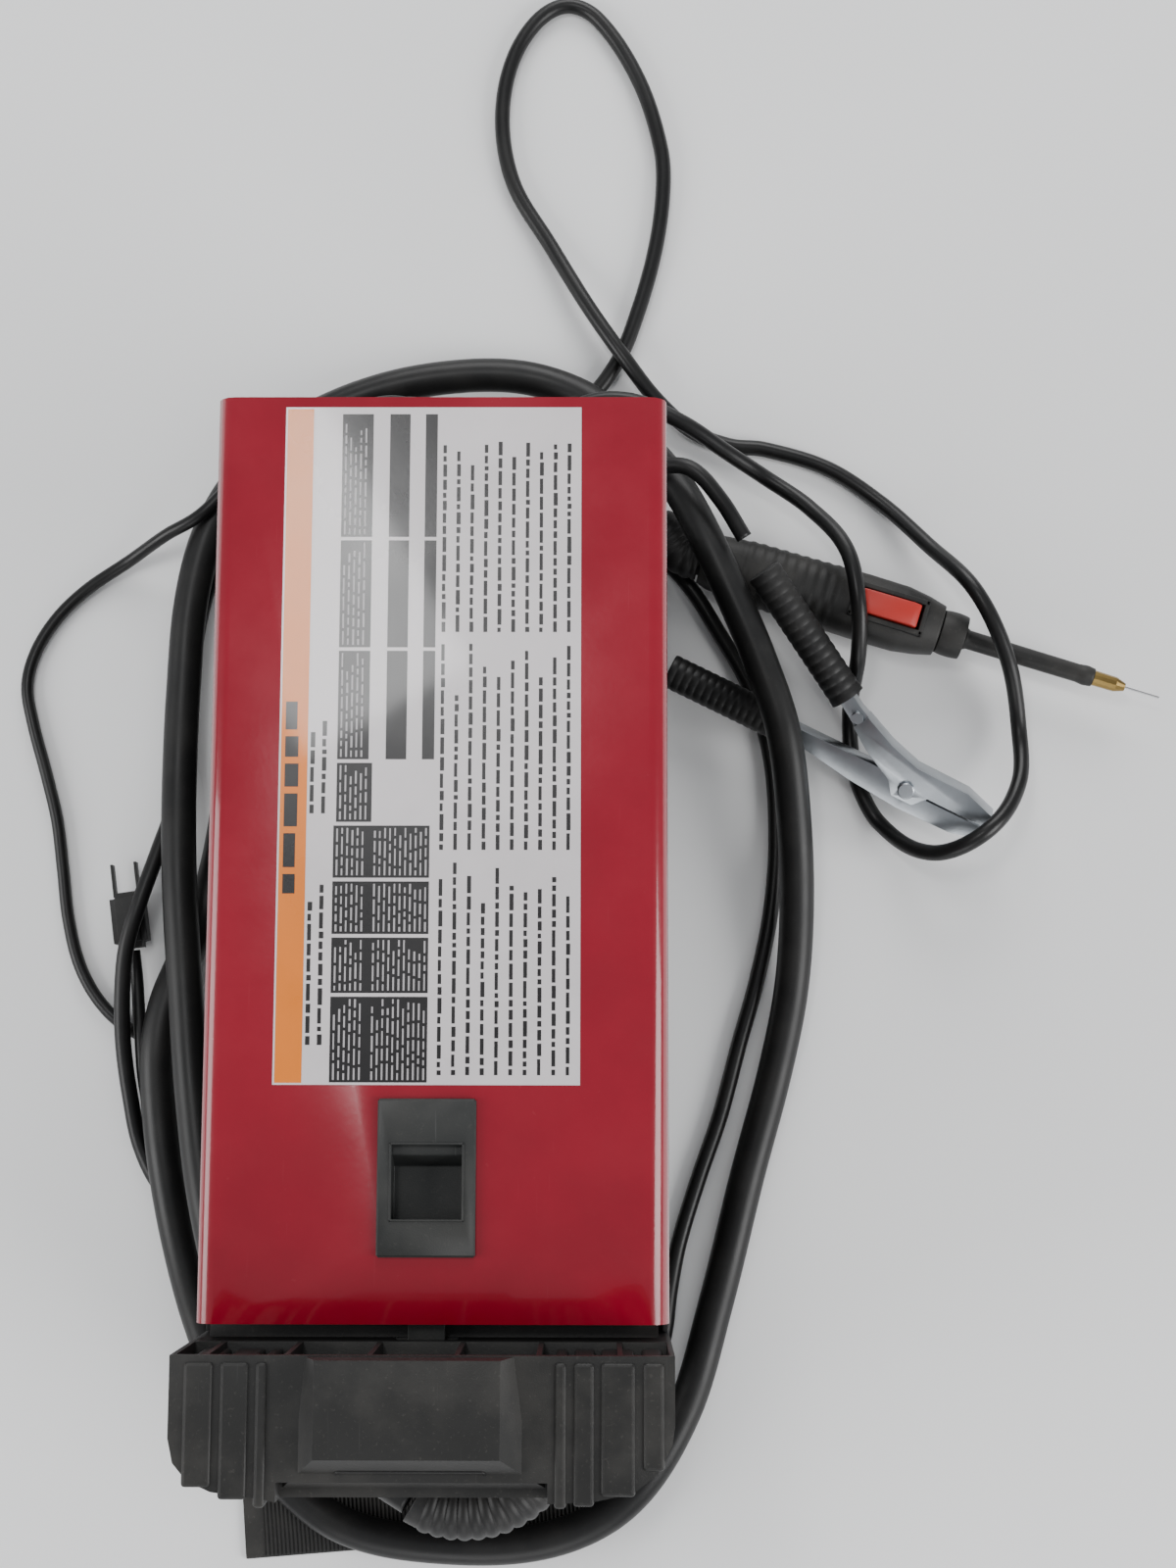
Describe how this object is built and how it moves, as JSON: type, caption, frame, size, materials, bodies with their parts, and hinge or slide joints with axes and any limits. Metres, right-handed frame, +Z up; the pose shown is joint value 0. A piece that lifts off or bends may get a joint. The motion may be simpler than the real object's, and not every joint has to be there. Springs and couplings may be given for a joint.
{
  "type": "wire-feed welder",
  "caption": "Compact wire-feed welder: red hinged lid, black case and front moulding, trigger gun on a long cable, spring work clamp, mains cord and rubber mat.",
  "frame": {"origin": "on the floor under the middle of the case, at the underside of its moulded feet", "axes": "+Z up; the front panel faces -Y and +Y is the rear; +X is to the right for someone who faces the front panel"},
  "size_m": [0.6201, 0.8597, 0.345],
  "materials": {
    "black_moulding": "fine-textured injection-moulded ABS",
    "red_case": "gloss powder-coated sheet steel",
    "black_case": "satin black powder-coated sheet steel",
    "latch_plastic": "dark grey moulded plastic",
    "black_rubber": "matt moulded rubber, dusty",
    "cable_rubber": "rubber cable jacket with talc bloom",
    "zinc_steel": "zinc-plated pressed steel",
    "brass": "drawn brass, slightly tarnished",
    "steel_wire": "drawn welding wire",
    "trigger_red": "red moulded plastic",
    "aluminium": "plain aluminium sheet and extrusion",
    "board_green": "solder-masked circuit board",
    "copper_winding": "lacquered copper wire",
    "flux_wire": "layer-wound flux-cored wire",
    "core_steel": "varnished laminated core"
  },
  "bodies": {
    "machine": {"base_pan": "black_case", "side_panel_left": "black_case", "side_panel_right": "black_case", "rear_panel": "black_case", "hinge_pin": "zinc_steel", "power_relief": "black_rubber", "front_bezel": "black_moulding", "front_panel": "black_moulding", "gun_gland": "black_moulding", "lead_gland": "black_rubber", "centre_partition": "aluminium", "feed_plate": "aluminium", "gear_motor": "aluminium", "inlet_guide": "brass", "wire_liner": "black_moulding", "spool_hub": "black_moulding", "control_board": "board_green", "power_board": "board_green", "heat_sink": "aluminium", "main_transformer": "core_steel", "output_choke": "copper_winding", "fan_frame": "black_moulding", "gun_boot": "black_rubber", "gun_cable": "cable_rubber", "gun_rear_boot": "black_rubber", "gun_handle_left": "black_moulding", "gun_handle_right": "black_moulding", "gun_neck": "black_moulding", "clamp_upper_arm": "zinc_steel", "clamp_pivot": "zinc_steel", "clamp_spring": "zinc_steel", "clamp_upper_sleeve": "black_rubber", "work_lead": "cable_rubber", "mains_cord_inlet": "cable_rubber", "mains_cord": "cable_rubber", "mains_coil": "cable_rubber", "mains_plug": "black_rubber", "rest_mat": "black_rubber"},
    "lid": {"top_lid": "red_case", "latch_plate": "latch_plastic"},
    "latch": {"latch_slide": "latch_plastic"},
    "speed_knob": {"wire_speed_knob": "black_moulding"},
    "volt_knob": {"voltage_knob": "black_moulding"},
    "rocker": {"power_rocker": "trigger_red"},
    "breaker": {"breaker_button": "black_moulding"},
    "drive": {"drive_roll": "zinc_steel"},
    "pressure": {"pressure_arm": "black_moulding"},
    "idle": {"idle_roll": "zinc_steel"},
    "pressure_screw": {"pressure_knob": "black_moulding"},
    "spool": {"wire_spool": "black_moulding", "wire_winding": "flux_wire"},
    "brake_nut": {"hub_nut": "black_moulding"},
    "fan": {"fan_rotor": "black_moulding"},
    "trigger": {"gun_trigger": "trigger_red"},
    "tip": {"contact_tip": "brass", "weld_wire": "steel_wire"},
    "nozzle_nut": {"gun_nut": "black_moulding"},
    "clamp_lower": {"clamp_lower_arm": "zinc_steel", "clamp_lower_sleeve": "black_rubber"}
  },
  "joints": [
    {"name": "lid_hinge", "type": "hinge", "parent": "machine", "child": "lid", "pos_m": [0, 0.2165, 0.2845], "axis": [-1, 0, 0], "range_deg": [0, 95]},
    {"name": "latch_slide", "type": "slide", "parent": "lid", "child": "latch", "axis": [0, 1, 0], "range_m": [0, 0.006], "stiffness_N_per_m": 400},
    {"name": "wire_speed_turn", "type": "hinge", "parent": "machine", "child": "speed_knob", "pos_m": [-0.033, -0.193, 0.215], "axis": [0, -1, 0], "range_deg": [-135, 135]},
    {"name": "voltage_turn", "type": "hinge", "parent": "machine", "child": "volt_knob", "pos_m": [0.033, -0.193, 0.215], "axis": [0, -1, 0], "range_deg": [-135, 135]},
    {"name": "power_rock", "type": "hinge", "parent": "machine", "child": "rocker", "pos_m": [0, -0.1915, 0.15], "axis": [1, 0, 0], "range_deg": [-7, 7]},
    {"name": "breaker_press", "type": "slide", "parent": "machine", "child": "breaker", "axis": [0, 1, 0], "range_m": [0, 0.003], "stiffness_N_per_m": 500},
    {"name": "spool_turn", "type": "hinge", "parent": "machine", "child": "spool", "pos_m": [-0.05, 0.095, 0.135], "axis": [-1, 0, 0], "continuous": true},
    {"name": "drive_turn", "type": "hinge", "parent": "machine", "child": "drive", "pos_m": [0, -0.085, 0.115], "axis": [-1, 0, 0], "continuous": true},
    {"name": "pressure_swing", "type": "hinge", "parent": "machine", "child": "pressure", "pos_m": [0, -0.12, 0.15], "axis": [1, 0, 0], "range_deg": [0, 40]},
    {"name": "idle_turn", "type": "hinge", "parent": "pressure", "child": "idle", "pos_m": [0, -0.085, 0.1456], "axis": [1, 0, 0], "continuous": true},
    {"name": "pressure_adjust", "type": "hinge", "parent": "pressure", "child": "pressure_screw", "pos_m": [-0.019, -0.0565, 0.16], "axis": [0, 0, 1], "range_deg": [0, 720]},
    {"name": "brake_adjust", "type": "hinge", "parent": "machine", "child": "brake_nut", "pos_m": [-0.085, 0.095, 0.135], "axis": [-1, 0, 0], "range_deg": [-180, 180]},
    {"name": "fan_turn", "type": "hinge", "parent": "machine", "child": "fan", "pos_m": [0.052, 0.19, 0.139], "axis": [0, 1, 0], "continuous": true},
    {"name": "trigger_pull", "type": "hinge", "parent": "machine", "child": "trigger", "pos_m": [0.23614, 0.18276, 0.0275], "axis": [0.2974, 0.9548, 0], "range_deg": [0, 5], "stiffness_Nm_per_rad": 0.5},
    {"name": "neck_nut_turn", "type": "hinge", "parent": "machine", "child": "nozzle_nut", "pos_m": [0.25667, 0.17637, 0.019], "axis": [0.9548, -0.2974, 0], "range_deg": [0, 180]},
    {"name": "tip_unscrew", "type": "hinge", "parent": "machine", "child": "tip", "pos_m": [0.34259, 0.1496, 0.019], "axis": [0.9548, -0.2974, 0], "range_deg": [0, 720]},
    {"name": "clamp_squeeze", "type": "hinge", "parent": "machine", "child": "clamp_lower", "pos_m": [0.2315, 0.0925, 0.022], "axis": [0.1949, 0.3927, -0.8988], "range_deg": [0, 10], "stiffness_Nm_per_rad": 2}
  ],
  "couplings": [
    {"joint": "drive_turn", "follows": "spool_turn", "ratio": 3.9},
    {"joint": "idle_turn", "follows": "spool_turn", "ratio": 3.9}
  ]
}
